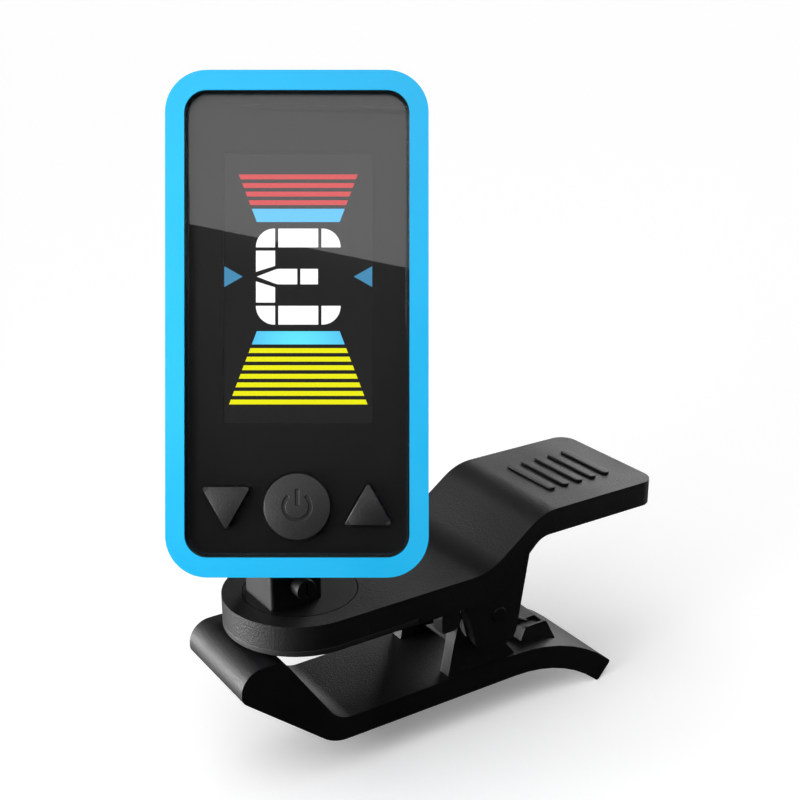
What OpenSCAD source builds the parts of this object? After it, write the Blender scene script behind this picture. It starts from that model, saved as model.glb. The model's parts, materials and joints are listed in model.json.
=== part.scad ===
// Clip-on tuner for a string instrument: a sprung clip, a swivel and tilt joint, and a display head.
// The origin is on the centre line where the jaws bite, on the face of the upper grip pad.
// +X runs from the jaws to the tail, +Y to the side, +Z up. All sizes are in millimetres.

/* [Clip] */
// Width of the upper arm, which is also the diameter of its round front end
arm_w = 18; // [17:0.5:19]
// Thickness of the upper arm and its grip pad together, at the front
arm_t = 3.75; // [3.6:0.05:3.9]
// Thickness of the rubber grip pad
grip_t = 0.75; // [0.7:0.05:0.9]
// Length of the upper arm behind the swivel axis
arm_l = 46.6; // [45:0.2:48]
// Thickness of the thumb pad
pad_t = 3.2; // [2.6:0.2:3.4]
// Height of the thumb pad above the front part of the arm
pad_rise = 5.85; // [5.6:0.05:6]
// Width of the lower arm
lower_w = 13.4; // [13.4:0.1:14]
// Thickness of the lower arm
lower_t = 3.2; // [3:0.1:3.4]
// Depth of the throat between the bite and the lower arm
throat_h = 10.35; // [10.2:0.05:10.5]
// Gap between the closed jaws
bite_gap = 0.6; // [0.4:0.1:0.8]

/* [Head joint] */
// Swivel axis behind the bite
disc_x = 8; // [7.8:0.1:8.2]
// Radius of the swivel disc
disc_r = 6.6; // [6.5:0.05:6.75]
// Height of the socket block above the arm
block_h = 4.8; // [4.6:0.1:4.8]
// Height of the tilt axis above the arm
tilt_h = 7.4; // [7.4:0.1:7.8]
// Turn of the head about the vertical, at rest
head_yaw = 33.2; // [20:0.2:45]
// Backward lean of the head at rest
head_lean = 20.1; // [15:0.1:25]

/* [Display head] */
// Width of the case
case_w = 27; // [27:0.1:27.6]
// Height of the case
case_h = 52; // [52:0.1:53]
// Depth of the case without the battery housing
case_d = 8; // [8:0.05:8.2]
// Width of the coloured rim at the sides
rim = 1.96; // [1.9:0.02:2]
// Outer corner radius of the case
case_r = 4.3; // [4.2:0.1:4.5]
// Travel of a button
button_travel = 0.35; // [0.2:0.05:0.35]

/* [Hidden] */

$fn = 96;
arc_step = 6;       // angle between the points of a rounded corner
eps = 0.01;         // overlap that joins two solids of one piece
free = 0.1;         // clearance between pieces that slide past each other
run_fit = 0.05;     // radial clearance of a shaft in its bore
big = 100;          // longer than the whole object

black = [0.07, 0.07, 0.075];
dark = [0.12, 0.12, 0.13];
cyan = [0.2, 0.75, 0.95];
steel = [0.72, 0.73, 0.75];

// Clip
half_w = arm_w / 2;
arm_top = arm_t;                        // top face of the arm's front part
pad_top = arm_top + pad_rise;
pad_bottom = pad_top - pad_t;
arm_end = disc_x + arm_l;
rise_x = disc_x + 20.5;                 // where the S-bend starts to rise
rise_run = 7.9;                         // length of the S-bend's slope
rise_r = 6.7;                           // bend radius of the top face
jaw_top = -throat_h;
jaw_bottom = jaw_top - lower_t;
nose_front = -3.15;
pivot = [30.7, -2.85];                  // X and Z of the clip's pivot
pin_r = 1;
cheek_in = 6.4;                         // inner face of a cheek, from the centre line
cheek_t = 1.8;
rib_in = 4.45;                          // inner face of a lower rib
rib_t = 1.7;
ridge_top = jaw_top + 1.55;             // top of the spring's ridge
ridge_half = 4.3;                       // half width of the spring's ridge
grip_back = 18.5;                       // rear end of the grip pad
tail_r = 23.5;                          // bend radius of the tail's upper face
tail_angle = 41;                        // angle through which the tail bends down
tail_start = 34.8;                      // where the tail starts to bend
tail_flat = 0.8;                        // straight end of the tail
floor_drop = 0.35;                      // how much lower the throat's floor is in front than behind
pad_corner_r = 2.2;

// Swivel
disc_t = 1.2;
disc_gap = 0.12;                        // width of the line round the disc
hub_r = 2;
washer_r = 3.2;
washer_t = 0.35;
pocket_r = 3.4;                         // pocket for washer and screw head, under the arm
pocket_h = 0.9;
block_l = 6.6;
block_w = 6.5;
block_x = disc_x - 2.1;
block_corner_r = 0.5;
block_top = arm_top + block_h;
post_r = 2;
post_floor = arm_top + 0.8;             // bottom of the post's bore
groove_r = 1.6;
screw_x = block_x + 0.25;               // axis of the tension screw, a little beside the post's
screw_z = arm_top + 2.5;
boss_r = 1.2;
boss_l = 1.75;
tilt_z = arm_top + tilt_h;
ear_r = 2.2;
ear_t = 2.4;
knuckle_x = 1.3;                        // side face of the knuckle, beside the ear
knuckle_t = 2.8;
tilt_pin_r = 0.8;

// Display head, seen from the front: X right, Y into the case, Z up, from the centre of the front
case_pos = [knuckle_x + knuckle_t / 2, -case_d - 5.1, case_h / 2 - 3.1];
case_rim_z = rim + 0.08;                // the rim is a little taller above and below
open_w = case_w - 2 * rim;
open_h = case_h - 2 * case_rim_z;
open_r = 2.35;
wall = 1.1;
cav_w = case_w - 2 * wall;
cav_h = case_h - 2 * wall;
cav_r = case_r - wall;
split_y = 5.2;                          // joint face between bezel and rear cover
lens_front = 0.5;
lens_mid = 1.1;                         // front of the lens's flange, behind the rim
lens_back = 1.6;
mask_t = 0.25;
mask_back = lens_back + mask_t;
lcd_front = 1.95;
lcd_back = 3.3;
graphic_t = 0.06;
light_front = 3.4;
light_back = 4.4;
board_front = 4.7;
board_t = 0.8;
board_back = board_front + board_t;
cover_wall = 1;
cover_in = case_d - cover_wall;
window_w = 15.4;
window_h = 28;
window_z = 3.8;                         // centre of the display window above the case's centre
field_z = 5;                            // centre of the pitch graphic
neck_half = 4.3;                        // half width of the graphic's waist
neck_z = 5.67;                          // half height of the graphic's waist
flare = 0.38;                           // widening of the graphic per millimetre of height
tuned_h = 1.37;                         // height of a blue bar
bar_h = 0.5;
bar_gap = 0.39;
red_bars = 4;
yellow_bars = 7;
button_front = 0.15;
button_flange = 0.6;
dome_h = 0.35;                          // height of a dome switch
button_end = board_front - dome_h - 0.05 - button_travel;
power_r = 3.42;
power_z = -18.75;
arrow_x = 7.3;
arrow_z = -18.7;
arrow_shift = 0.25;                     // the down button sits lower and the up button higher by this
arrow_w = 5.05;
arrow_h = 4.45;
arrow_r = 0.25;
cell_r = 10;
cell_t = 3.2;
cell_front = 6.5;
cell_z = -5.2;
house_half = 11.4;                      // half width of the battery housing
house_low = -16.6;
house_high = 6.2;
house_back = case_d + 2.9;
door_t = 1;
door_half = 9.9;
door_low = -15.6;
tongue_t = 0.4;
tongue_out = 0.7;
case_screw_x = 10.9;
case_screw_z = 23.3;
screw_hole_r = 0.65;
flange_z = [-1.4, 6];                   // lower and upper edge of the hinge flange
flange_t = 1.8;
flange_half = 4.5;
bracket_screw_x = 3.2;
bracket_screw_z = 3.6;

// ---------- outlines ----------

function unit(v) = v / norm(v);

function signed_turn(a) = a > 180 ? a - 360 : a < -180 ? a + 360 : a;

// Points of the arc that rounds corner b between its neighbours a and c
function corner_arc(a, b, c, r) =
    let (
        u = unit(a - b),
        v = unit(c - b),
        half = acos(u * v) / 2,
        centre = b + unit(u + v) * r / sin(half),
        from = b + u * r / tan(half) - centre,
        to = b + v * r / tan(half) - centre,
        start = atan2(from.y, from.x),
        sweep = signed_turn(atan2(to.y, to.x) - start),
        steps = max(1, ceil(abs(sweep) / arc_step))
    )
    [for (i = [0:steps]) centre + r * [cos(start + sweep * i / steps), sin(start + sweep * i / steps)]];

function flat(p) = [p[0], p[1]];

// Outline through corners given as [x, y, radius]
function rounded(corners) =
    let (n = len(corners))
    [for (i = [0:n - 1])
        each corners[i][2] > 0
            ? corner_arc(flat(corners[(i + n - 1) % n]), flat(corners[i]), flat(corners[(i + 1) % n]),
                corners[i][2])
            : [flat(corners[i])]];

function box_corners(w, h, r) = [[-w / 2, -h / 2, r], [w / 2, -h / 2, r], [w / 2, h / 2, r], [-w / 2, h / 2, r]];

// An outline in X and Z, made solid from y0 to y1
module side_plate(corners, y0, y1) {
    translate([0, y1, 0])
        rotate([90, 0, 0])
            linear_extrude(y1 - y0)
                polygon(rounded(corners));
}

// The same plate on both sides of the centre line
module side_pair(corners, inner, thickness) {
    side_plate(corners, inner, inner + thickness);
    side_plate(corners, -inner - thickness, -inner);
}

// A cylinder along Y
module rod_y(r, y0, y1, x, z) {
    translate([x, y1, z])
        rotate([90, 0, 0])
            cylinder(r = r, h = y1 - y0);
}

// A cylinder along X
module rod_x(r, x0, x1, y, z) {
    translate([x0, y, z])
        rotate([0, 90, 0])
            cylinder(r = r, h = x1 - x0);
}

// A box from its two corners
module block(low, high) {
    translate(low)
        cube(high - low);
}

// ---------- clip ----------

// A lower rib: a horn in front, a cradle round the spring and a strut up to the pin
module rib(inner) {
    translate([0, inner + rib_t, 0])
        rotate([90, 0, 0])
            linear_extrude(rib_t)
                difference() {
                    union() {
                        difference() {
                            polygon(rounded([[24.6, jaw_top - 1, 0], [25.5, -6.45, 0.8], [26.3, -3.1, 0.6],
                                [29, -3.1, 0], [35.6, jaw_top - 1, 0]]));
                            translate(pivot)
                                circle(r = 4.5);
                        }
                        polygon([[29, jaw_top - 1], [29.2, pivot.y], [32.2, pivot.y], [33.6, jaw_top - 1]]);
                        translate(pivot)
                            circle(r = 2.2);
                    }
                    translate(pivot)
                        circle(r = pin_r);
                }
}

module lower_jaw() {
    tail_tan = tan(tail_angle / 2);
    tip = [tail_start + tail_r * sin(tail_angle), jaw_top - tail_r * (1 - cos(tail_angle))]
        + tail_flat * [cos(tail_angle), -sin(tail_angle)];
    heel = tip - lower_t * [sin(tail_angle), cos(tail_angle)];
    color(black)
        difference() {
            union() {
                side_plate([
                    [nose_front, -bite_gap, 2.6],
                    [2.07, -bite_gap, 2.4],
                    [9, jaw_top - floor_drop, 3.5],
                    [tail_start + tail_r * tail_tan, jaw_top, tail_r],
                    [tip.x, tip.y, 0.4],
                    [heel.x, heel.y, 0.4],
                    [tail_start + (tail_r - lower_t) * tail_tan, jaw_bottom, tail_r - lower_t],
                    [8.37, jaw_bottom, 5],
                    [nose_front, -4.13, 1.4]
                ], -lower_w / 2, lower_w / 2);
                rib(rib_in);
                rib(-rib_in - rib_t);
                side_plate([[37, jaw_top - 1, 0], [38.1, ridge_top, 0.4], [41.4, ridge_top, 0.5],
                    [43.3, jaw_top - 2, 0]], -ridge_half, ridge_half);
            }
            // Groove where the spring's leg rests
            block([36, -4, ridge_top - 0.35], [41, -2.4, ridge_top + 1]);
        }
}

module pivot_pin() {
    pin_end = cheek_in + cheek_t + 0.15;
    color(steel)
        rod_y(pin_r, -pin_end, pin_end, pivot.x, pivot.y);
}

// Torsion spring, swept along one path: lower leg, coil, upper leg
module torsion_spring() {
    wire_r = 0.42;
    coil_r = 1.75;
    turns = 4;
    sides = 8;
    half_len = 3.2;
    sweep = 180 + 360 * turns;
    steps = 16 * turns + 8;
    coil = [for (i = [0:steps])
        let (t = i / steps, a = -90 - sweep * t)
        [pivot.x + coil_r * cos(a), -half_len + 2 * half_len * t, pivot.y + coil_r * sin(a)]];
    path = concat([[39.2, -half_len, ridge_top + 0.15]], coil, [[40.4, half_len, pad_bottom - 0.5]]);
    n = len(path);
    rings = [for (i = [0:n - 1])
        let (
            along = unit(path[min(i + 1, n - 1)] - path[max(i - 1, 0)]),
            across = unit(cross(along, [0, 1, 0])),
            up = cross(across, along)
        )
        for (k = [0:sides - 1])
            path[i] + wire_r * (cos(360 * k / sides) * across + sin(360 * k / sides) * up)];
    walls = [for (i = [0:n - 2]) for (k = [0:sides - 1])
        let (a = i * sides + k, b = i * sides + (k + 1) % sides)
        [a, b, b + sides, a + sides]];
    color(steel)
        polyhedron(rings, concat([[for (k = [sides - 1:-1:0]) k]], walls,
            [[for (k = [0:sides - 1]) (n - 1) * sides + k]]));
}

// Plan outline of the upper arm, as a tall solid
module arm_plan() {
    translate([disc_x, 0, -big / 2])
        cylinder(r = half_w, h = big);
    translate([0, 0, -big / 2])
        linear_extrude(big)
            polygon(rounded([[disc_x, -half_w, 0], [arm_end, -half_w, pad_corner_r],
                [arm_end, half_w, pad_corner_r], [disc_x, half_w, 0]]));
}

module arm_body() {
    slope = atan(pad_rise / rise_run);
    under_shift = tan(slope / 2);
    intersection() {
        side_plate([
            [-5, 0, 0],
            [rise_x + arm_t * under_shift, 0, 7],
            [rise_x + rise_run - 0.2, pad_bottom, 3],
            [60, pad_bottom, 0],
            [60, pad_top, 0],
            [rise_x + rise_run, pad_top, rise_r],
            [rise_x, arm_top, rise_r],
            [-5, arm_top, 0]
        ], -20, 20);
        arm_plan();
    }
}

module upper_jaw() {
    color(black)
        difference() {
            union() {
                arm_body();
                // Cheeks that carry the pivot pin
                side_pair([[25.4, 1.5, 0], [27.6, -7.25, 2.2], [33.2, -7.25, 2.2], [35.35, 5.7, 0], [28.4, 3, 0]],
                    cheek_in, cheek_t);
                // Short lugs in front of the cheeks
                side_pair([[22.3, 0.5, 0], [22.3, -2.95, 0.3], [24.9, -2.95, 1], [24.9, 0.5, 0]],
                    cheek_in, cheek_t);
                // Stiffening web and the wall in front of the spring
                side_plate([[19, 0.5, 0], [19, -4.65, 0.4], [26.5, -5.45, 0], [26.5, 0.5, 0]], -2, 2);
                side_plate([[26, 1, 0], [26, -7.35, 0.4], [27.3, -7.35, 0.4], [27.6, 1, 0]], -4.2, 4.2);
            }
            // Pocket of the grip pad
            block([-5, -big / 2, -1], [grip_back + free, big / 2, grip_t]);
            // Recess of the disc, bore of its hub, pocket of its washer
            translate([disc_x, 0, arm_top - disc_t - 0.02])
                cylinder(r = disc_r + disc_gap, h = 10);
            translate([disc_x, 0, -1])
                cylinder(r = hub_r + run_fit, h = 10);
            translate([disc_x, 0, 0])
                cylinder(r = pocket_r, h = grip_t + pocket_h);
            rod_y(pin_r + run_fit, -big, big, pivot.x, pivot.y);
        }
}

module jaw_grip_pad() {
    color(dark)
        intersection() {
            block([-5, -20, 0], [grip_back, 20, grip_t]);
            arm_plan();
        }
}

// Raised ribs under the thumb
module thumb_grip() {
    count = 5;
    pitch = 2.2;
    rib_r = 0.5;
    reach = 4;
    rib_h = 0.3;
    first = arm_end - 4.2 - (count - 1) * pitch;
    color(black)
        for (i = [0:count - 1])
            translate([first + i * pitch, 0, pad_top]) {
                block([-rib_r, -reach, 0], [rib_r, reach, rib_h]);
                for (side = [-1, 1])
                    translate([0, side * reach, 0])
                        cylinder(r = rib_r, h = rib_h, $fn = 32);
            }
}

// ---------- swivel ----------

module swivel_disc() {
    floor_z = arm_top - disc_t;
    color(black)
        difference() {
            union() {
                translate([disc_x, 0, floor_z])
                    cylinder(r = disc_r, h = disc_t);
                translate([disc_x, 0, grip_t + pocket_h - 0.05])
                    cylinder(r = hub_r, h = disc_t + 0.5);
                translate([block_x, 0, arm_top - eps])
                    linear_extrude(block_h + eps)
                        polygon(rounded(box_corners(block_l, block_w, block_corner_r)));
            }
            translate([disc_x, 0, 0])
                cylinder(r = screw_hole_r, h = arm_top - 0.1);
            translate([block_x, 0, post_floor])
                cylinder(r = post_r + run_fit, h = 10);
            rod_y(screw_hole_r, -block_w, 0, screw_x, screw_z);
        }
}

module swivel_washer() {
    top = grip_t + pocket_h - 0.05;
    color(steel)
        difference() {
            translate([disc_x, 0, top - washer_t])
                cylinder(r = washer_r, h = washer_t);
            translate([disc_x, 0, 0])
                cylinder(r = screw_hole_r, h = 5);
        }
}

module swivel_screw() {
    head_top = grip_t + pocket_h - 0.05 - washer_t;
    head_h = 0.45;
    color(steel)
        difference() {
            translate([disc_x, 0, head_top - head_h]) {
                cylinder(r = 1.6, h = head_h);
                cylinder(r = screw_hole_r - 0.02, h = 2.2);
            }
            // Cross recess
            for (turn = [0, 90])
                translate([disc_x, 0, head_top - head_h])
                    rotate([0, 0, turn])
                        cube([1.8, 0.3, 0.4], center = true);
        }
}

module tension_screw() {
    face = -block_w / 2;
    color(dark)
        difference() {
            union() {
                rod_y(boss_r, face - boss_l, face, screw_x, screw_z);
                rod_y(screw_hole_r - 0.02, face - 0.5, -groove_r - 0.1, screw_x, screw_z);
            }
            block([screw_x - 0.15, face - boss_l - 1, screw_z - 0.8],
                [screw_x + 0.15, face - boss_l + 0.3, screw_z + 0.8]);
        }
}

// Turns with the head: its pin is vertical and its ear stands across the head's width
module at_post() {
    translate([block_x, 0, 0])
        rotate([0, 0, -head_yaw])
            children();
}

module swivel_post() {
    color(dark)
        at_post()
            difference() {
                union() {
                    translate([0, 0, post_floor + 0.05])
                        cylinder(r = post_r, h = block_top - post_floor);
                    translate([0, 0, block_top + 0.05])
                        cylinder(r = 2.6, h = 0.22);
                    block([-ear_t / 2, -ear_r, block_top + 0.1], [ear_t / 2, ear_r, tilt_z]);
                    rod_x(ear_r, -ear_t / 2, ear_t / 2, 0, tilt_z);
                }
                rod_x(tilt_pin_r + 0.02, -5, 5, 0, tilt_z);
                translate([0, 0, screw_z])
                    rotate_extrude()
                        translate([groove_r, -0.75])
                            square([1, 1.5]);
            }
}

module tilt_pin() {
    far = knuckle_x + knuckle_t;
    color(steel)
        at_post() {
            rod_x(tilt_pin_r, -ear_t / 2 - 0.3, far + 0.4, 0, tilt_z);
            rod_x(1.5, -ear_t / 2 - 0.85, -ear_t / 2 - 0.05, 0, tilt_z);
            rod_x(1.3, far + free, far + 0.7, 0, tilt_z);
        }
}

// ---------- display head ----------

// Head frame: origin on the tilt axis, X across, Y backwards, Z up along the case
module at_head() {
    translate([block_x, 0, tilt_z])
        rotate([-head_lean, 0, -head_yaw])
            children();
}

// Case frame: origin at the centre of the case's front plane
module at_case() {
    at_head()
        translate(case_pos)
            children();
}

module at_case_screws() {
    for (sx = [-1, 1])
        for (sz = [-1, 1])
            translate([sx * case_screw_x, 0, sz * case_screw_z])
                children();
}

module front_bezel() {
    boss_front = 2.3;
    color(cyan)
        at_case()
            difference() {
                union() {
                    difference() {
                        side_plate(box_corners(case_w, case_h, case_r), 0, split_y);
                        side_plate(box_corners(open_w, open_h, open_r), -1, big);
                        side_plate(box_corners(cav_w, cav_h, cav_r), lens_mid, big);
                    }
                    intersection() {
                        at_case_screws()
                            rod_y(1.6, boss_front, split_y, 0, 0);
                        side_plate(box_corners(case_w - wall, case_h - wall, case_r - wall / 2), 0, split_y);
                    }
                }
                at_case_screws()
                    rod_y(screw_hole_r, boss_front + 0.4, big, 0, 0);
            }
}

// Triangle button outline; up is 1 or -1
function arrow_corners(up, grow) =
    let (w = arrow_w / 2 + grow * 1.7, h = arrow_h / 2 + grow)
    [[-w, -up * h, arrow_r + grow], [w, -up * h, arrow_r + grow], [0, up * (h + grow), arrow_r + grow]];

// The three openings for the buttons
module button_openings(y0, y1) {
    rod_y(power_r + 0.12, y0, y1, 0, power_z);
    for (side = [-1, 1])
        translate([side * arrow_x, 0, arrow_z + side * arrow_shift])
            side_plate(arrow_corners(side, 0.12), y0, y1);
}

module lens() {
    color([0.1, 0.1, 0.11])
        at_case()
            difference() {
                union() {
                    side_plate(box_corners(open_w - 0.15, open_h - 0.15, open_r - 0.07), lens_front, lens_mid + eps);
                    side_plate(box_corners(cav_w - 0.2, cav_h - 0.2, cav_r - free), lens_mid, lens_back);
                }
                button_openings(-1, 10);
            }
}

module mask_panel() {
    color(black)
        at_case()
            difference() {
                side_plate(box_corners(cav_w - 0.3, cav_h - 0.3, cav_r - 0.15), lens_back, mask_back);
                translate([0, 0, window_z])
                    side_plate(box_corners(window_w, window_h, 0), 0, 10);
                button_openings(-1, 10);
            }
}

// Half width of the pitch graphic at a height from its centre
function graphic_half(z) = neck_half + flare * (abs(z) - neck_z);

// One bar of the pitch graphic, between two heights from the graphic's centre
module pitch_bar(z0, z1) {
    translate([0, 0, field_z])
        side_plate([[-graphic_half(z0), z0, 0], [graphic_half(z0), z0, 0], [graphic_half(z1), z1, 0],
            [-graphic_half(z1), z1, 0]], lcd_front - graphic_t, lcd_front);
}

// A row of bars outside the blue bar; side is 1 above and -1 below
module pitch_bars(count, side) {
    for (i = [0:count - 1]) {
        start = neck_z + tuned_h + bar_gap + i * (bar_h + bar_gap);
        pitch_bar(min(side * start, side * (start + bar_h)), max(side * start, side * (start + bar_h)));
    }
}

module lcd_bars_red() {
    color([1, 0.4, 0.42])
        at_case()
            pitch_bars(red_bars, 1);
}

module lcd_bars_yellow() {
    color([1, 1, 0.12])
        at_case()
            pitch_bars(yellow_bars, -1);
}

module lcd_bars_blue() {
    pointer_out = 7.68;
    pointer_in = 5.77;
    pointer_h = 1.08;
    color([0.45, 0.85, 1])
        at_case() {
            pitch_bar(neck_z, neck_z + tuned_h);
            pitch_bar(-neck_z - tuned_h, -neck_z);
            for (side = [-1, 1])
                translate([0, 0, field_z])
                    side_plate([[side * pointer_out, -pointer_h, 0], [side * pointer_in, 0, 0],
                        [side * pointer_out, pointer_h, 0]], lcd_front - graphic_t, lcd_front);
        }
}

// Note letter in segments
module lcd_letter() {
    out_x = 4.39;
    col_x = 2.41;
    mid_x = 2.07;
    out_z = 4.98;
    row_z = 3.04;
    stem_z = 2.69;
    waist = 0.8;
    round_r = 1.9;
    color([1, 1, 1])
        at_case()
            translate([0, 0, field_z]) {
                for (m = [-1, 1]) {
                    for (s = [-1, 1])
                        letter_piece([[s * col_x, m * row_z, 0], [s * out_x, m * row_z, 0],
                            [s * out_x, m * out_z, round_r], [s * col_x, m * out_z, 0]]);
                    letter_piece([[-mid_x, m * row_z, 0], [mid_x, m * row_z, 0], [mid_x, m * out_z, 0],
                        [-mid_x, m * out_z, 0]]);
                    letter_piece([[-out_x, m * 0.5, 0], [-col_x, m * 1.12, 0], [-col_x, m * stem_z, 0],
                        [-out_x, m * stem_z, 0]]);
                }
                letter_piece([[-4.3, 0, 0], [-2.2, -waist, 1.5], [-0.11, -waist, 0], [-0.11, waist, 0],
                    [-2.2, waist, 1.5]]);
                letter_piece([[0.22, -waist, 0], [2.04, -waist, 0], [2.04, waist, 0], [0.22, waist, 0]]);
            }
}

module letter_piece(corners) {
    side_plate(corners, lcd_front - graphic_t, lcd_front);
}

module lcd_panel() {
    color([0.16, 0.16, 0.17])
        at_case()
            translate([0, 0, window_z])
                side_plate(box_corners(17.2, 30.2, 0.3), lcd_front, lcd_back);
}

module backlight() {
    color([0.9, 0.92, 0.95])
        at_case()
            translate([0, 0, window_z])
                side_plate(box_corners(17.2, 30.2, 0.5), light_front, light_back);
}

module main_board() {
    color([0.05, 0.32, 0.16])
        at_case()
            difference() {
                side_plate(box_corners(cav_w - 0.6, cav_h - 0.6, cav_r - 0.3), board_front, board_back);
                at_case_screws()
                    rod_y(1.9, 0, 10, 0, 0);
            }
}

module dome_switches() {
    color(steel)
        at_case()
            for (x = [-arrow_x, 0, arrow_x])
                rod_y(1.5, board_front - dome_h, board_front, x, x == 0 ? power_z : arrow_z);
}

module tuner_chip() {
    color(dark)
        at_case()
            translate([0, 0, 15])
                side_plate(box_corners(6, 6, 0), board_back, board_back + 0.9);
}

module vibration_sensor() {
    color([0.8, 0.68, 0.35])
        at_case()
            rod_y(5, cover_in - 0.3, cover_in, 0, 15);
}

module battery_contact_minus() {
    color(steel)
        at_case() {
            translate([0, 0, cell_z])
                side_plate(box_corners(6, 14, 0.5), board_back, board_back + 0.2);
            for (side = [-1, 1])
                rod_y(0.9, board_back + 0.2, cell_front, 0, cell_z + side * 5);
        }
}

module battery_contact_plus() {
    color(steel)
        at_case()
            block([-2, board_back, cell_z + cell_r + 0.05], [2, cell_front + cell_t - 0.4, cell_z + cell_r + 0.3]);
}

module battery_cell() {
    rim_step = 0.35;
    color([0.78, 0.79, 0.8])
        at_case() {
            rod_y(cell_r - 1, cell_front, cell_front + rim_step + eps, 0, cell_z);
            rod_y(cell_r, cell_front + rim_step, cell_front + cell_t, 0, cell_z);
        }
}

module rear_cover() {
    slot_front = house_back - door_t - 0.05;
    house_w = 2 * house_half;
    house_mid = (house_low + house_high) / 2;
    color(black)
        at_case()
            difference() {
                union() {
                    difference() {
                        side_plate(box_corners(case_w, case_h, case_r), split_y, case_d);
                        side_plate(box_corners(cav_w, cav_h, cav_r), split_y - 1, cover_in);
                    }
                    // Battery housing
                    translate([0, 0, house_mid])
                        side_plate(box_corners(house_w, house_high - house_low, 1.5), cover_in - 1.4, house_back);
                    intersection() {
                        at_case_screws()
                            rod_y(1.7, split_y, case_d, 0, 0);
                        side_plate(box_corners(case_w, case_h, case_r), split_y, case_d);
                    }
                    // Bosses of the hinge bracket's screws
                    for (side = [-1, 1])
                        rod_y(1.3, board_back + 0.3, case_d, side * bracket_screw_x,
                            bracket_screw_z - case_pos.z);
                }
                // Battery pocket and the notch for its side contact
                rod_y(cell_r + 0.15, 0, slot_front + eps, 0, cell_z);
                block([-2.2, 0, cell_z + 8], [2.2, slot_front, cell_z + cell_r + 0.4]);
                // Slot of the sliding door, open at the top
                block([-door_half - free, slot_front, door_low - free], [door_half + free, 20, big]);
                block([-door_half - tongue_out - free, slot_front, door_low - free],
                    [door_half + tongue_out + free, slot_front + tongue_t + 0.15, big]);
                at_case_screws() {
                    rod_y(screw_hole_r + 0.1, 0, 20, 0, 0);
                    rod_y(1.6, case_d - 0.85, 20, 0, 0);
                }
                for (side = [-1, 1])
                    rod_y(screw_hole_r, board_back + 0.5, 20, side * bracket_screw_x,
                        bracket_screw_z - case_pos.z);
            }
}

module battery_door() {
    front = house_back - door_t;
    door_high = house_high;
    mid = (door_low + door_high) / 2;
    length = door_high - door_low;
    color(dark)
        at_case()
            difference() {
                union() {
                    translate([0, 0, mid])
                        side_plate(box_corners(2 * door_half, length, 0.4), front, house_back);
                    translate([0, 0, mid])
                        side_plate(box_corners(2 * (door_half + tongue_out), length, 0.4), front,
                            front + tongue_t);
                }
                // Finger ribs
                for (i = [0:3])
                    block([-4, house_back - 0.3, -14 + 1.3 * i], [4, house_back + 1, -13.4 + 1.3 * i]);
            }
}

// One countersunk-style screw of the case: head at depth y, shank forward
module small_screw(head_r, head_h, y, length) {
    difference() {
        union() {
            rod_y(head_r, y, y + head_h, 0, 0);
            rod_y(screw_hole_r - 0.03, y - length, y + eps, 0, 0);
        }
        for (turn = [0, 90])
            translate([0, y + head_h, 0])
                rotate([0, turn, 0])
                    cube([head_r * 1.2, 0.5, 0.28], center = true);
    }
}

module case_screws() {
    color(steel)
        at_case()
            at_case_screws()
                small_screw(1.45, 0.7, case_d - 0.8, 4);
}

module hinge_bracket() {
    mid = case_pos.x;
    flange_front = case_pos.y + case_d;
    flange_back = flange_front + flange_t;
    flange_mid = (flange_z[0] + flange_z[1]) / 2;
    color(dark)
        at_head()
            difference() {
                union() {
                    translate([mid, 0, flange_mid])
                        side_plate(box_corners(2 * flange_half, flange_z[1] - flange_z[0], 1), flange_front,
                            flange_back);
                    side_web(flange_back);
                    rod_x(ear_r, knuckle_x, knuckle_x + knuckle_t, 0, 0);
                }
                rod_x(tilt_pin_r + run_fit, -10, 10, 0, 0);
                for (side = [-1, 1])
                    rod_y(screw_hole_r + 0.05, -10, 0, mid + side * bracket_screw_x, bracket_screw_z);
            }
}

// Web from the flange to the knuckle
module side_web(flange_back) {
    translate([knuckle_x, 0, 0])
        rotate([90, 0, 90])
            linear_extrude(knuckle_t)
                polygon(rounded([[flange_back - 0.5, flange_z[0], 0], [0, -ear_r, 0], [0, ear_r, 0],
                    [flange_back - 0.5, 5, 0]]));
}

module bracket_screws() {
    color(steel)
        at_head()
            for (side = [-1, 1])
                translate([case_pos.x + side * bracket_screw_x, 0, bracket_screw_z])
                    small_screw(1.2, 0.6, case_pos.y + case_d + flange_t, 3);
}

// ---------- buttons ----------

module power_button() {
    ring_in = 1.2;
    ring_out = 1.55;
    depth = 0.15;
    color(dark)
        at_case()
            translate([0, 0, power_z])
                difference() {
                    union() {
                        rod_y(power_r, button_front, mask_back + 0.2, 0, 0);
                        rod_y(power_r + button_flange, mask_back + 0.15, mask_back + 0.8, 0, 0);
                        rod_y(1.4, mask_back + 0.5, button_end, 0, 0);
                    }
                    // Standby symbol: an open ring and a bar
                    difference() {
                        rod_y(ring_out, 0, button_front + depth, 0, 0);
                        rod_y(ring_in, -1, 10, 0, 0);
                        side_plate([[0, 0, 0], [2, 2.4, 0], [-2, 2.4, 0]], -1, 10);
                    }
                    block([-0.19, 0, 0.15], [0.19, button_front + depth, 1.8]);
                }
}

// Triangular button; up is 1 or -1
module arrow_button(up) {
    color(dark)
        at_case()
            translate([up * arrow_x, 0, arrow_z + up * arrow_shift]) {
                side_plate(arrow_corners(up, 0), button_front, mask_back + 0.2);
                side_plate(arrow_corners(up, 0.3), mask_back + 0.15, mask_back + 0.8);
                rod_y(1, mask_back + 0.5, button_end, 0, 0);
            }
}

module down_button() {
    arrow_button(-1);
}

module up_button() {
    arrow_button(1);
}

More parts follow.
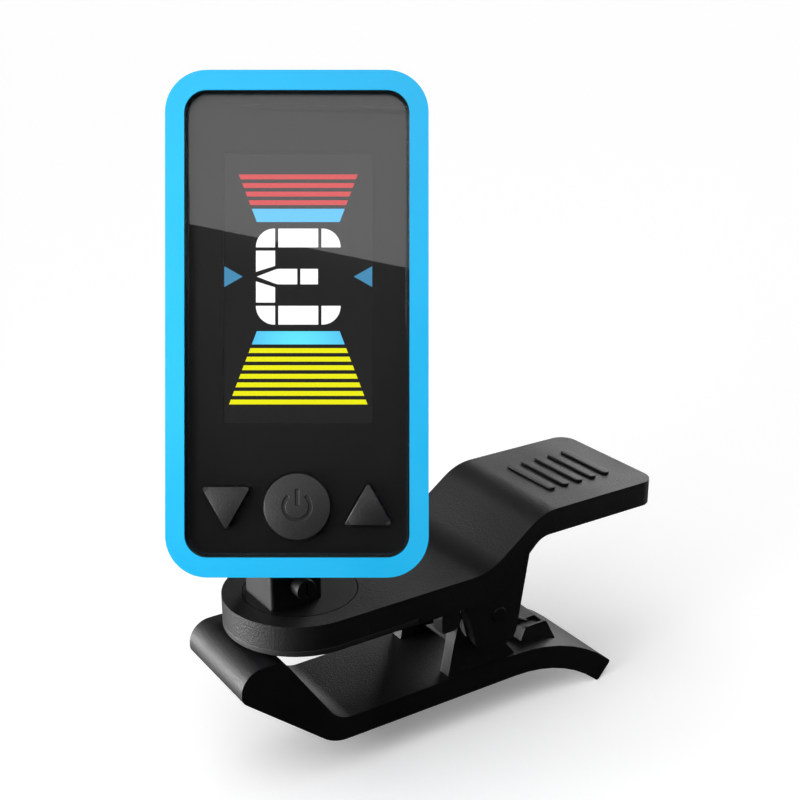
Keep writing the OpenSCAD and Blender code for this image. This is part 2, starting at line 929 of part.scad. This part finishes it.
lower_jaw();
pivot_pin();
torsion_spring();
upper_jaw();
jaw_grip_pad();
thumb_grip();
swivel_disc();
swivel_washer();
swivel_screw();
tension_screw();
swivel_post();
tilt_pin();
hinge_bracket();
bracket_screws();
front_bezel();
lens();
mask_panel();
lcd_bars_red();
lcd_bars_yellow();
lcd_bars_blue();
lcd_letter();
lcd_panel();
backlight();
main_board();
dome_switches();
tuner_chip();
vibration_sensor();
battery_contact_minus();
battery_contact_plus();
battery_cell();
rear_cover();
case_screws();
power_button();
down_button();
up_button();
battery_door();
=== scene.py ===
"""Looks, light and camera for the clip-on tuner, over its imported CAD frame."""

import json
import math

import bpy
from mathutils import Matrix, Vector


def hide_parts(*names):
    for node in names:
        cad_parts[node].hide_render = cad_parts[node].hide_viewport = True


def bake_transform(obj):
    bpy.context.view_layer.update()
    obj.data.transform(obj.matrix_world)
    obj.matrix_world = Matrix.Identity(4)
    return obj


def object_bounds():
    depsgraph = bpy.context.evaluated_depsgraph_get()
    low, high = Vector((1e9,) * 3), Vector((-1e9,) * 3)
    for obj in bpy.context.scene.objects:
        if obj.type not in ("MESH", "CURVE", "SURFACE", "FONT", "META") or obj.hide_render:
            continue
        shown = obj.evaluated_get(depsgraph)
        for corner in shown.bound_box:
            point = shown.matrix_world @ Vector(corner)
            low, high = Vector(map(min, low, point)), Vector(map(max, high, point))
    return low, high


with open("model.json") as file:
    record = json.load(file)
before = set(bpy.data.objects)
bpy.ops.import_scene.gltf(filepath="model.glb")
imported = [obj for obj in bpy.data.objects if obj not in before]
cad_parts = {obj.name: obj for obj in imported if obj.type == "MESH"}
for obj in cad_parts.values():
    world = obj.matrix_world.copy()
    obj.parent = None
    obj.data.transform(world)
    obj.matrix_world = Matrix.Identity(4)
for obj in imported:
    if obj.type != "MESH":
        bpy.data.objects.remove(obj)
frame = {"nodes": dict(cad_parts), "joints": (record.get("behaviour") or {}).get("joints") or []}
cad_low, cad_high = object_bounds()
nodes = frame["nodes"]
joints = {joint["name"]: joint for joint in frame["joints"]}

MM = 0.001
FACE_DEPTH = 0.02 * MM  # points nearer to the front than this lie on a node's front face

# ---------- the head's own directions ----------

ACROSS = -Vector(joints["head_tilt"]["axis"]).normalized()
INTO = Vector(joints["power_press"]["axis"]).normalized()
UP = Vector(joints["door_slide"]["axis"]).normalized()
SWIVEL = Vector(joints["disc_swivel"]["pos_m"])


def extent(node, direction):
    """Lowest and highest value of a node along a direction, in metres."""
    values = [vertex.co.dot(direction) for vertex in nodes[node].data.vertices]
    return min(values), max(values)


def front_extent(node, direction):
    """The same along a direction, over the points of the node's front face only."""
    front = extent(node, INTO)[0] + FACE_DEPTH
    points = [vertex.co for vertex in nodes[node].data.vertices if vertex.co.dot(INTO) < front]
    values = [point.dot(direction) for point in points]
    return min(values), max(values)


def middle(node, direction):
    """Middle of a node along a direction, in metres."""
    return sum(extent(node, direction)) / 2


FACE_CENTRE = (
    ACROSS * middle("front_bezel", ACROSS)
    + INTO * extent("front_bezel", INTO)[0]
    + UP * middle("front_bezel", UP)
)


# ---------- materials ----------


class Shader:
    """A material's node tree, with short calls for the nodes used here."""

    def __init__(self, name):
        self.material = bpy.data.materials.new(name)
        self.material.use_nodes = True
        self.tree = self.material.node_tree
        self.tree.nodes.clear()
        self.output = self.tree.nodes.new("ShaderNodeOutputMaterial")
        self.coords = self.tree.nodes.new("ShaderNodeTexCoord").outputs["Object"]

    def node(self, kind, inputs=(), **settings):
        made = self.tree.nodes.new(kind)
        for key, value in settings.items():
            setattr(made, key, value)
        for key, value in dict(inputs).items():
            self.put(made.inputs[key], value)
        return made

    def put(self, socket, value):
        if isinstance(value, bpy.types.NodeSocket):
            self.tree.links.new(value, socket)
        else:
            socket.default_value = value

    def noise(self, size, detail=3.0, roughness=0.5, stretch=(1, 1, 1)):
        """Noise with features of about that size in metres."""
        mapped = self.node("ShaderNodeMapping", {"Vector": self.coords, "Scale": stretch})
        made = self.node(
            "ShaderNodeTexNoise",
            {"Vector": mapped.outputs[0], "Scale": 1 / size, "Detail": detail, "Roughness": roughness},
        )
        return made.outputs["Fac"]

    def cells(self, size):
        """Rounded cells of that size in metres, as on a spark-eroded mould."""
        made = self.node(
            "ShaderNodeTexVoronoi",
            {"Vector": self.coords, "Scale": 1 / size},
            feature="SMOOTH_F1",
        )
        return made.outputs["Distance"]

    def ranged(self, value, low, high, start=0.3, end=0.7):
        """A value between start and end, spread over low to high."""
        made = self.node(
            "ShaderNodeMapRange",
            {"Value": value, "From Min": start, "From Max": end, "To Min": low, "To Max": high},
        )
        return made.outputs[0]

    def maths(self, operation, a, b):
        """A sum on two values, kept between 0 and 1."""
        return self.node("ShaderNodeMath", {0: a, 1: b}, operation=operation, use_clamp=True).outputs[0]

    def vector_maths(self, operation, a, b, output="Value"):
        return self.node("ShaderNodeVectorMath", {0: a, 1: b}, operation=operation).outputs[output]

    def mixed(self, share, first, second):
        """Colour between two colours; share 0 gives the first."""
        made = self.node("ShaderNodeMix", data_type="RGBA")
        colours = [socket for socket in made.inputs if socket.type == "RGBA"]
        self.put(made.inputs["Factor"], share)
        self.put(colours[0], first)
        self.put(colours[1], second)
        return next(socket for socket in made.outputs if socket.type == "RGBA")

    def bumped(self, height, depth, over=None):
        """Bump of that depth in metres, over another bump if one is given."""
        made = self.node("ShaderNodeBump", {"Height": height, "Distance": depth, "Strength": 1.0})
        if over is not None:
            self.put(made.inputs["Normal"], over)
        return made.outputs[0]

    def distance(self, point):
        """Distance from a point, in metres."""
        return self.vector_maths("DISTANCE", self.coords, point)

    def along(self, direction, point):
        """How far past a point the surface lies in a direction, in metres."""
        offset = self.vector_maths("SUBTRACT", self.coords, point, "Vector")
        return self.vector_maths("DOT_PRODUCT", offset, direction)

    def aside(self, direction, point):
        """The same to either side, always positive."""
        past = self.along(direction, point)
        return self.node("ShaderNodeMath", {0: past}, operation="ABSOLUTE").outputs[0]

    def edges(self, radius):
        """1 on edges sharper than the radius, 0 on flat faces."""
        soft = self.node("ShaderNodeBevel", {"Radius": radius}, samples=4).outputs[0]
        true = self.node("ShaderNodeNewGeometry").outputs["Normal"]
        return self.ranged(self.vector_maths("DOT_PRODUCT", soft, true), 1.0, 0.0, 0.80, 0.995)

    def principled(self, **inputs):
        """The material's surface; an input's name has _ for a space."""
        named = {key.replace("_", " "): value for key, value in inputs.items()}
        made = self.node("ShaderNodeBsdfPrincipled", named)
        self.tree.links.new(made.outputs[0], self.output.inputs[0])
        return made


def grey(value):
    """A neutral colour, from 0, black, to 1, white."""
    return (value, value, value, 1.0)


def shade(colour, factor):
    """A colour made darker or lighter."""
    return tuple(min(1.0, channel * factor) for channel in colour[:3]) + (1.0,)


WORN_RADIUS = 0.35 * MM  # edges sharper than this are polished by use
WORN_GLOSS = 0.12  # how far the roughness drops there
SPECKLE_LIGHT = 1.5  # brightness of the lightest speckles, as a multiple of the colour
BLOTCH = 0.2  # how far broad patches differ from the colour at full speckle
# near-black colour painted as shade on a recessed inner wall
PAINTED_SHADE = grey(0.002)


def moulded(name, colour, rough, grain, depth, wear=1.6, speckle=0.5, dome=None, lip_shade=None):
    """Moulded plastic or rubber: spark-eroded grain, uneven sheen and edges polished by use.

    dome is the centre, radius and height of a slight swell. The lip mask gives the recessed part where
    shade is painted near black.
    """
    s = Shader(name)
    blotches = s.noise(9 * MM, detail=4)
    fine = s.noise(grain, detail=2, roughness=0.6)
    pits = s.cells(grain * 1.7)
    worn = s.maths("MULTIPLY", s.edges(WORN_RADIUS), s.ranged(s.noise(2.5 * MM), 0.25, 1.0))
    darker = shade(colour, 1 - BLOTCH * speckle)
    lighter = shade(colour, 1 + BLOTCH * speckle)
    base = s.mixed(s.ranged(blotches, 0.0, 1.0), darker, lighter)
    speckles = s.ranged(fine, 0.0, speckle, 0.35, 0.75)
    speckled = s.mixed(speckles, base, shade(colour, SPECKLE_LIGHT))
    colour_out = s.mixed(worn, speckled, shade(colour, wear))
    sheen = s.ranged(blotches, rough - 0.04, rough + 0.05)
    height = s.maths("ADD", s.maths("MULTIPLY", fine, 0.6), s.maths("MULTIPLY", pits, 0.4))
    normal = s.bumped(height, depth)
    if dome is not None:
        centre, radius, rise = dome
        away = s.maths("DIVIDE", s.distance(centre), radius)
        swell = s.maths("SUBTRACT", 1.0, s.maths("MULTIPLY", away, away))
        normal = s.bumped(swell, rise, normal)
    # painted shade: the recessed inner wall is coloured near black where it lies in shadow
    if lip_shade is not None:
        colour_out = s.mixed(lip_shade(s), colour_out, PAINTED_SHADE)
    s.principled(
        Base_Color=colour_out,
        Roughness=s.maths("SUBTRACT", sheen, s.maths("MULTIPLY", worn, WORN_GLOSS)),
        Normal=normal,
    )
    return s.material


FADE_BOTTOM = -24 * MM  # the mask's colour lightens between these heights above the middle of the face
FADE_TOP = 14 * MM


def printed_mask(name):
    """Black print behind the lens, its colour a shade lighter towards the top."""
    s = Shader(name)
    print_grain = s.noise(0.12 * MM, detail=2)
    height = s.ranged(s.along(UP, FACE_CENTRE), 0.0, 1.0, FADE_BOTTOM, FADE_TOP)
    black = s.mixed(height, grey(0.010), grey(0.030))
    s.principled(
        Base_Color=s.mixed(s.ranged(print_grain, 0.0, 0.15), black, grey(0.04)),
        Roughness=s.ranged(print_grain, 0.42, 0.5),
        Normal=s.bumped(print_grain, 0.001 * MM),
    )
    return s.material


def inner_wall_shade(window, margin, depth):
    """Mask for painted shade on the case's inner wall round a window, from a depth below the front, in
    metres.
    """
    fade = 0.15 * MM
    left, right_side = front_extent(window, ACROSS)
    bottom, top = front_extent(window, UP)

    def mask(s):
        inside_width = s.maths("LESS_THAN", s.aside(ACROSS, FACE_CENTRE), (right_side - left) / 2 + margin)
        inside_height = s.maths("LESS_THAN", s.aside(UP, FACE_CENTRE), (top - bottom) / 2 + margin)
        below = s.ranged(s.along(INTO, FACE_CENTRE), 0.0, 1.0, depth, depth + fade)
        return s.maths("MULTIPLY", below, s.maths("MULTIPLY", inside_width, inside_height))

    return mask


RUBBER_BLACK = (0.012, 0.012, 0.0124)
BUTTON_SWELL = 0.60 * MM


def button_rubber(button):
    """Grained rubber of a button whose top swells a little."""
    left, right_side = extent(button, ACROSS)
    centre = (
        ACROSS * middle(button, ACROSS) + INTO * extent(button, INTO)[0] + UP * middle(button, UP)
    )
    return moulded(
        button + "_rubber", RUBBER_BLACK, 0.50, 0.15 * MM, 0.045 * MM, wear=1.35,
        dome=(centre, (right_side - left) / 2, BUTTON_SWELL),
    )


def metal(name, colour, rough, brushed=(1, 1, 1)):
    """Turned or drawn metal with fine marks and a few dull patches."""
    s = Shader(name)
    marks = s.noise(0.25 * MM, detail=4, stretch=brushed)
    patches = s.noise(2.2 * MM, detail=3)
    dull = s.mixed(s.ranged(patches, 0.0, 1.0), shade(colour, 0.8), shade(colour, 1.0))
    scuffs = s.ranged(marks, rough - 0.08, rough + 0.1)
    s.principled(
        Base_Color=dull,
        Metallic=1.0,
        Roughness=s.maths("ADD", scuffs, s.ranged(patches, 0.0, 0.06)),
        Normal=s.bumped(marks, 0.004 * MM),
    )
    return s.material


ACRYLIC_IOR = 1.49
LENS_TINT = grey(0.755)  # light let through by each face of the lens


def smoked_lens(name):
    """Smoked acrylic: each face tints what is behind it and adds a sharp reflection."""
    s = Shader(name)
    smears = s.noise(14 * MM, detail=3)
    gloss = s.principled(
        Base_Color=grey(0.0),
        Roughness=s.ranged(smears, 0.004, 0.012),
        IOR=ACRYLIC_IOR,
    )
    tint = s.node("ShaderNodeBsdfTransparent", {"Color": LENS_TINT})
    both = s.node("ShaderNodeAddShader", {0: gloss.outputs[0], 1: tint.outputs[0]})
    s.tree.links.new(both.outputs[0], s.output.inputs[0])
    return s.material


UNLIT = grey(0.006)  # the display's own colour under its light


def lit(s, dimmer, colour, strength, rough=0.4, specular=0.5):
    """Gives a display segment a fine cell pattern and a slightly uneven backlight."""
    uneven = s.noise(6 * MM, detail=2)
    cell = s.noise(0.09 * MM, detail=1)
    glow = s.maths("MULTIPLY", s.ranged(uneven, 0.9, 1.0), s.ranged(cell, 0.93, 1.0))
    s.principled(
        Base_Color=UNLIT,
        Roughness=s.ranged(uneven, rough, rough + 0.02),
        Specular_IOR_Level=specular,
        Emission_Color=s.mixed(glow, dimmer, colour),
        Emission_Strength=strength,
        Normal=s.bumped(cell, 0.002 * MM),
    )
    return s.material


def glowing(name, colour, strength, **surface):
    """A lit display segment of one colour."""
    return lit(Shader(name), shade(colour, 0.75), colour, strength, **surface)


BAR_BLUE = (0.17, 0.95, 1.6, 1)
BAR_CYAN = (0.26, 1.75, 1.9, 1)
POINTER_BLUE = (0.11, 0.47, 0.82, 1)
BRIGHT_SPOT = FACE_CENTRE - 2.5 * MM * UP  # brightest point of the lower bar
BRIGHT_RADIUS = 5.5 * MM
POINTERS_FROM = 5.2 * MM  # the pointers lie farther than this from the middle of the face


def blue_segments(name):
    """The blue bars, cyan in the middle of the lower one, and the dimmer pointers at the sides."""
    s = Shader(name)
    from_spot = s.distance(BRIGHT_SPOT)
    bars = s.mixed(s.ranged(from_spot, 1.0, 0.0, 0.0, BRIGHT_RADIUS), BAR_BLUE, BAR_CYAN)
    from_middle = s.aside(ACROSS, FACE_CENTRE)
    pointer = s.ranged(from_middle, 0.0, 1.0, POINTERS_FROM, POINTERS_FROM + 0.2 * MM)
    colour = s.mixed(pointer, bars, POINTER_BLUE)
    return lit(s, colour, colour, 1.0)


def circuit_board(name):
    """Solder-masked laminate with a faint glass weave."""
    s = Shader(name)
    weave = s.noise(0.3 * MM, detail=2, stretch=(1, 1, 3))
    patches = s.noise(3 * MM, detail=3)
    s.principled(
        Base_Color=s.mixed(s.ranged(patches, 0, 1), (0.01, 0.10, 0.045, 1), (0.016, 0.16, 0.07, 1)),
        Roughness=s.ranged(weave, 0.32, 0.48),
        Normal=s.bumped(weave, 0.01 * MM),
    )
    return s.material


def diffuser(name):
    """Milky light guide behind the display."""
    s = Shader(name)
    haze = s.noise(1.5 * MM, detail=3)
    s.principled(
        Base_Color=s.mixed(s.ranged(haze, 0, 1), grey(0.72), grey(0.82)),
        Roughness=s.ranged(haze, 0.35, 0.5),
        Normal=s.bumped(haze, 0.005 * MM),
    )
    return s.material


CLIP_BLACK = (0.0010, 0.0010, 0.00105)
COVER_BLACK = (0.004, 0.004, 0.0042)
CHIP_BLACK = (0.010, 0.010, 0.0105)
BEZEL_BLUE = (0.002, 0.395, 0.73)
RED = (1.0, 0.065, 0.075, 1)
YELLOW = (1.0, 0.99, 0.004, 1)
WHITE = grey(1.0)
BRASS = (0.78, 0.55, 0.25)
STEEL = (0.50, 0.51, 0.52)
BLACKENED = (0.035, 0.035, 0.037)
DRAWN = (1, 6, 1)  # stretch of the fine marks on drawn metal

clip_plastic = moulded("clip_plastic", CLIP_BLACK, 0.53, 0.13 * MM, 0.060 * MM)
joint_plastic = moulded("joint_plastic", CLIP_BLACK, 0.50, 0.14 * MM, 0.020 * MM)
cover_black = moulded("cover_black", COVER_BLACK, 0.44, 0.18 * MM, 0.018 * MM)
grip_rubber = moulded("grip_rubber", grey(0.0024), 0.60, 0.10 * MM, 0.012 * MM, wear=1.3)
# painted shade on the bezel's inner wall, standing in for the shadow gap round the lens
bezel_lip_shade = inner_wall_shade("lens", margin=0.3 * MM, depth=0.2 * MM)
bezel_blue = moulded(
    "bezel_blue", BEZEL_BLUE, 0.38, 0.12 * MM, 0.0012 * MM, wear=1.06, speckle=0.08, lip_shade=bezel_lip_shade,
)
lens_black = smoked_lens("lens_black")
mask_black = printed_mask("mask_black")
chip_black = moulded("chip_black", CHIP_BLACK, 0.45, 0.10 * MM, 0.006 * MM)
lcd_red = glowing("lcd_red", RED, 1.2)
lcd_yellow = glowing("lcd_yellow", YELLOW, 1.55)
lcd_blue = blue_segments("lcd_blue")
lcd_white = glowing("lcd_white", WHITE, 2.0)
lcd_dark = glowing("lcd_dark", WHITE, 0.034, rough=0.03, specular=0.3)
white_plastic = diffuser("white_plastic")
board_green = circuit_board("board_green")
sensor_brass = metal("sensor_brass", BRASS, 0.3)
steel = metal("steel", STEEL, 0.28, brushed=DRAWN)
blackened = metal("blackened_steel", BLACKENED, 0.36, brushed=DRAWN)

FINISH = {
    clip_plastic: ["lower_jaw", "upper_jaw", "thumb_grip"],
    joint_plastic: ["pivot_pin", "swivel_disc", "swivel_post", "hinge_bracket", "tension_screw"],
    cover_black: ["rear_cover", "battery_door"],
    grip_rubber: ["jaw_grip_pad"],
    button_rubber("power_button"): ["power_button"],
    button_rubber("down_button"): ["down_button"],
    button_rubber("up_button"): ["up_button"],
    bezel_blue: ["front_bezel"],
    lens_black: ["lens"],
    mask_black: ["mask_panel"],
    chip_black: ["tuner_chip"],
    lcd_red: ["lcd_bars_red"],
    lcd_yellow: ["lcd_bars_yellow"],
    lcd_blue: ["lcd_bars_blue"],
    lcd_white: ["lcd_letter"],
    lcd_dark: ["lcd_panel"],
    white_plastic: ["backlight"],
    board_green: ["main_board"],
    sensor_brass: ["vibration_sensor"],
    blackened: ["torsion_spring", "tilt_pin"],
    steel: [
        "swivel_washer", "swivel_screw", "bracket_screws",
        "dome_switches", "battery_contact_minus", "battery_contact_plus", "battery_cell", "case_screws",
    ],
}

for finish, names in FINISH.items():
    for name in names:
        slots = nodes[name].data.materials
        slots.clear()
        slots.append(finish)

# ---------- softened edges ----------


def shade_faces(mesh, smooth):
    """Shades every face smooth or flat, without the normals that came with the mesh."""
    normals = mesh.attributes.get("custom_normal")
    if normals is not None:
        mesh.attributes.remove(normals)
    mesh.polygons.foreach_set("use_smooth", [smooth] * len(mesh.polygons))


SAME_POINT = 0.0005 * MM
SAME_PLANE = math.radians(0.6)
SHARP = math.radians(32)


def weld(piece):
    """Joins the points that the CAD mesh keeps apart along its faces' edges."""
    piece.modifiers.new("weld", "WELD").merge_threshold = SAME_POINT


def rounded(name, width, segments=3):
    """Rounds a CAD node's sharp edges by a bevel of that width in millimetres."""
    piece = nodes[name]
    shade_faces(piece.data, smooth=False)
    weld(piece)
    planes = piece.modifiers.new("planes", "DECIMATE")
    planes.decimate_type = "DISSOLVE"
    planes.angle_limit = SAME_PLANE
    bevel = piece.modifiers.new("bevel", "BEVEL")
    bevel.width = width * MM
    bevel.segments = segments
    bevel.limit_method = "ANGLE"
    bevel.angle_limit = SHARP
    bevel.use_clamp_overlap = True
    bevel.miter_outer = "MITER_ARC"
    return bevel


def soften(name, width, segments=3):
    """Rounds a CAD node's sharp edges and shades it smoothly."""
    bevel = rounded(name, width, segments)
    bevel.harden_normals = True
    piece = nodes[name]
    shade_faces(piece.data, smooth=True)
    weighted = piece.modifiers.new("weighted", "WEIGHTED_NORMAL")
    weighted.keep_sharp = False
    weighted.weight = 60


def front_outline(name, rim=0.8 * MM):
    """Vertex group with the outer edge of a node's front face, up to the rim's width from it."""
    piece = nodes[name]
    sides = front_extent(name, ACROSS)
    ends = front_extent(name, UP)
    front = extent(name, INTO)[0] + FACE_DEPTH
    group = piece.vertex_groups.new(name="outline")
    for vertex in piece.data.vertices:
        x = vertex.co.dot(ACROSS)
        z = vertex.co.dot(UP)
        margin = min(x - sides[0], sides[1] - x, z - ends[0], ends[1] - z)
        if vertex.co.dot(INTO) < front and margin < rim:
            group.add([vertex.index], 1.0, "REPLACE")
    return group.name


EDGE_WIDTHS = {
    "upper_jaw": 0.45,
    "lower_jaw": 0.40,
    "jaw_grip_pad": 0.15,
    "thumb_grip": 0.10,
    "swivel_disc": 0.18,
    "swivel_post": 0.12,
    "hinge_bracket": 0.20,
    "tension_screw": 0.12,
    "front_bezel": 0.45,
    "rear_cover": 0.35,
    "battery_door": 0.18,
    "power_button": 0.30,
    "down_button": 0.25,
    "up_button": 0.25,
    "pivot_pin": 0.15,
    "tilt_pin": 0.12,
    "case_screws": 0.06,
    "bracket_screws": 0.06,
    "battery_cell": 0.15,
    "swivel_screw": 0.05,
    "swivel_washer": 0.05,
}
for name, width in EDGE_WIDTHS.items():
    soften(name, width)

for name, piece in nodes.items():
    if name not in EDGE_WIDTHS:
        shade_faces(piece.data, smooth=False)

# The lens keeps flat, mirror-like faces and only its front outline is rounded
lens_rim = rounded("lens", 0.42, segments=8)
lens_rim.limit_method = "VGROUP"
lens_rim.vertex_group = front_outline("lens")

# The mask's print stands a hair clear of the lens, so that the two faces don't coincide
MASK_CLEARANCE = 0.02 * MM
weld(nodes["mask_panel"])
clear = nodes["mask_panel"].modifiers.new("clear", "DISPLACE")
clear.mid_level = 0.0
clear.strength = -MASK_CLEARANCE

# ---------- the clip's spring ----------


def wound_spring(node):
    """The clip's spring as round wire: a smoothed copy of the CAD spring, shown in its place."""
    spring = bpy.data.objects.new("spring_wire", nodes[node].data.copy())
    bpy.context.scene.collection.objects.link(spring)
    shade_faces(spring.data, smooth=True)
    weld(spring)
    spring.modifiers.new("rounder", "SUBSURF").render_levels = 2
    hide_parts(node)
    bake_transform(spring)


wound_spring("torsion_spring")

# ---------- stage ----------


def four_sided(name, corners, material):
    """A flat piece of the stage with four corners."""
    mesh = bpy.data.meshes.new(name)
    mesh.from_pydata(corners, [], [(0, 1, 2, 3)])
    mesh.materials.append(material)
    made = bpy.data.objects.new(name, mesh)
    bpy.context.scene.collection.objects.link(made)
    return made


FLOOR_GLOW = 0.25  # stands for the light that a white studio throws back into the shadow


def paper(name):
    """Matt white studio paper."""
    s = Shader(name)
    fibre = s.noise(4 * MM, detail=4)
    s.principled(
        Base_Color=s.mixed(s.ranged(fibre, 0, 1), grey(0.955), grey(0.965)),
        Roughness=s.ranged(fibre, 0.85, 0.95),
        Specular_IOR_Level=0.0,
        Emission_Color=WHITE,
        Emission_Strength=FLOOR_GLOW,
    )
    return s.material


FLOOR_HALF = 6.0
floor_corners = [
    (-FLOOR_HALF, -FLOOR_HALF, 0),
    (FLOOR_HALF, -FLOOR_HALF, 0),
    (FLOOR_HALF, FLOOR_HALF, 0),
    (-FLOOR_HALF, FLOOR_HALF, 0),
]
floor = four_sided("floor", floor_corners, paper("paper"))
floor.location.z = cad_low.z
floor.visible_glossy = False

# ---------- camera ----------

CAMERA_AZIMUTH = 33.213
CAMERA_ELEVATION = 20.140
CAMERA_OFFSET = Vector((-64.462, -119.465, 72.644)) * MM  # from the swivel axis on the arm
azimuth = math.radians(CAMERA_AZIMUTH)
elevation = math.radians(CAMERA_ELEVATION)
forward = Vector(
    (math.sin(azimuth) * math.cos(elevation), math.cos(azimuth) * math.cos(elevation), -math.sin(elevation))
)
right = Vector((math.cos(azimuth), -math.sin(azimuth), 0.0))
upward = right.cross(forward)

camera_data = bpy.data.cameras.new("camera")
camera_data.lens = 59.45
camera_data.sensor_width = 36.0
camera_data.clip_start = 0.005
camera_data.clip_end = 50.0
camera = bpy.data.objects.new("camera", camera_data)
bpy.context.scene.collection.objects.link(camera)
camera.matrix_world = Matrix.Translation(SWIVEL + CAMERA_OFFSET) @ Matrix(
    (
        (right.x, upward.x, -forward.x),
        (right.y, upward.y, -forward.y),
        (right.z, upward.z, -forward.z),
    )
).to_4x4()
bpy.context.scene.camera = camera

# ---------- light ----------

SKY = Vector((0, 0, 1))
HEADING = Vector((forward.x, forward.y, 0)).normalized()


def aimed(position, target):
    """Matrix that puts an object at a position with its -Z axis towards the target."""
    turn = (target - position).to_track_quat("-Z", "Y").to_matrix().to_4x4()
    return Matrix.Translation(position) @ turn


def bearing(turn, height):
    """Direction at an angle to the right of the camera's heading and one above the level, in degrees."""
    turn = math.radians(turn)
    height = math.radians(height)
    level = math.cos(turn) * HEADING + math.sin(turn) * right
    return math.cos(height) * level + math.sin(height) * SKY


def light_at(data, position, target):
    """Puts a light where it shines on the target, out of the camera's sight."""
    made = bpy.data.objects.new(data.name, data)
    bpy.context.scene.collection.objects.link(made)
    made.matrix_world = aimed(position, target)
    made.visible_camera = False
    return made


def softbox(name, turn, height, distance, size, power, centre=SWIVEL):
    """A light panel that only adds sheen."""
    data = bpy.data.lights.new(name, "AREA")
    data.shape = "RECTANGLE"
    data.size, data.size_y = size
    data.energy = power
    made = light_at(data, centre + bearing(turn, height) * distance, centre)
    made.visible_diffuse = False
    return made


def sun(name, turn, height, strength, angle):
    """Broad light from far away that adds no sheen."""
    data = bpy.data.lights.new(name, "SUN")
    data.energy = strength
    data.angle = math.radians(angle)
    made = light_at(data, SWIVEL + bearing(turn, height), SWIVEL)
    made.visible_glossy = False
    return made


LEFT_RIM = SWIVEL + MM * (-14 * right - 5 * HEADING + 38 * SKY)  # beside the head's left edge

sun("front_sky", -150, 60, 1.44, 60)
sun("top_sky", 0, 90, 1.17, 100)
softbox("back_box", 26, 18, 0.5, (0.3, 0.2), 1.08)
softbox("back_left_box", -35, 22, 0.5, (0.3, 0.2), 0.05)
softbox("left_box", -90, 10, 0.5, (0.5, 0.4), 2.3)
softbox("upper_left_box", -80, 45, 0.5, (0.5, 0.4), 0.35)
softbox("left_strip", -100, -2, 0.25, (0.2, 0.03), 1.8)
softbox("right_strip", 62, -8, 0.25, (0.2, 0.1), 0.12, centre=LEFT_RIM)
fill = softbox("rim_fill", -150, 10, 0.09, (0.03, 0.05), 0.020, centre=LEFT_RIM)
fill.data.spread = math.radians(90)
fill.visible_diffuse = True
fill.visible_glossy = False


def white_backdrop():
    """A white surrounding that the camera sees past the floor's edge, and that lights nothing."""
    world = bpy.data.worlds.new("studio")
    world.use_nodes = True
    backdrop = world.node_tree.nodes["Background"]
    backdrop.inputs["Color"].default_value = WHITE
    backdrop.inputs["Strength"].default_value = 1.0
    world.cycles_visibility.diffuse = False
    world.cycles_visibility.glossy = False
    world.cycles_visibility.transmission = False
    bpy.context.scene.world = world


white_backdrop()

CARD_BEHIND = 0.5  # distance of the card behind the camera
CARD_LEFT = Vector((-0.1610, 0.1328))  # slopes, right and up, from the lens's mirror image of the camera
CARD_RIGHT = Vector((0.0042, 0.0994))
CARD_OVERHANG = 0.5
CARD_HEIGHT = 0.45
CARD_GLOW = 1.54


def reflected_card():
    """A bright card behind the camera that only the glossy lens shows, above a slanting edge."""
    lens_distance = (FACE_CENTRE - camera.matrix_world.translation).dot(forward)
    reach = 2 * lens_distance + CARD_BEHIND
    edge = (CARD_RIGHT - CARD_LEFT).normalized()
    rise = Vector((-edge.y, edge.x)) * CARD_HEIGHT
    left_end = CARD_LEFT * reach - edge * CARD_OVERHANG
    right_end = CARD_RIGHT * reach + edge * CARD_OVERHANG
    centre = camera.matrix_world.translation - forward * CARD_BEHIND
    corners = [
        centre + right * point.x + upward * point.y
        for point in (left_end, right_end, right_end + rise, left_end + rise)
    ]
    s = Shader("card")
    light = s.node("ShaderNodeEmission", {"Color": WHITE, "Strength": CARD_GLOW})
    s.tree.links.new(light.outputs[0], s.output.inputs[0])
    card = four_sided("card", corners, s.material)
    card.visible_camera = False
    card.visible_diffuse = False
    card.visible_shadow = False


reflected_card()

bpy.context.scene.view_settings.view_transform = "Standard"
